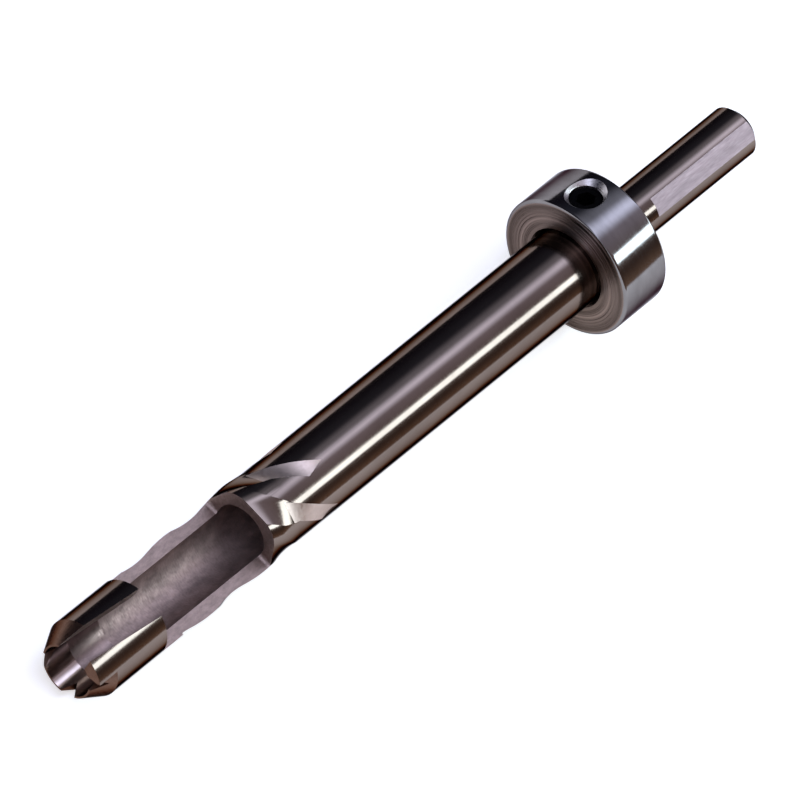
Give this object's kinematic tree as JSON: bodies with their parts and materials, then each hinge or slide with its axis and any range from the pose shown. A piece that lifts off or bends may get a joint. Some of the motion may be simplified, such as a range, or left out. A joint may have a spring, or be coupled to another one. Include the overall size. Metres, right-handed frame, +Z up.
{
  "type": "plug cutter",
  "caption": "Barrel plug cutter: round shank, hollow fluted barrel with a side window, toothed rim, and a sliding depth stop collar with a set screw.",
  "frame": {"origin": "centre of the bottom of the bounding box, on the surface that the tool lies on", "axes": "+Z up with the side window facing straight up; +X along the surface from the cutting tip towards the shank. The tool's own axis rises 2.65 degrees towards the shank, because it lies on its collar and its cutting head"},
  "size_m": [0.1708, 0.026, 0.0264],
  "materials": {
    "tool_steel": "ground and polished round the tool, matte in the bore and on the window's cut faces",
    "collar_steel": "bright turned",
    "black_steel": "black oxide"
  },
  "bodies": {
    "cutter": {"plug_cutter": "tool_steel"},
    "collar": {"stop_collar": "collar_steel"},
    "screw": {"set_screw": "black_steel"}
  },
  "joints": [
    {"name": "collar_slide", "type": "slide", "parent": "cutter", "child": "collar", "axis": [0.9989, 0, 0.0461], "range_m": [-0.06, 0.0005]},
    {"name": "screw_turn", "type": "hinge", "parent": "collar", "child": "screw", "pos_m": [0.04621, 0, 0.01321], "axis": [-0.0418, 0.4226, 0.9053], "range_deg": [0, 360]}
  ]
}
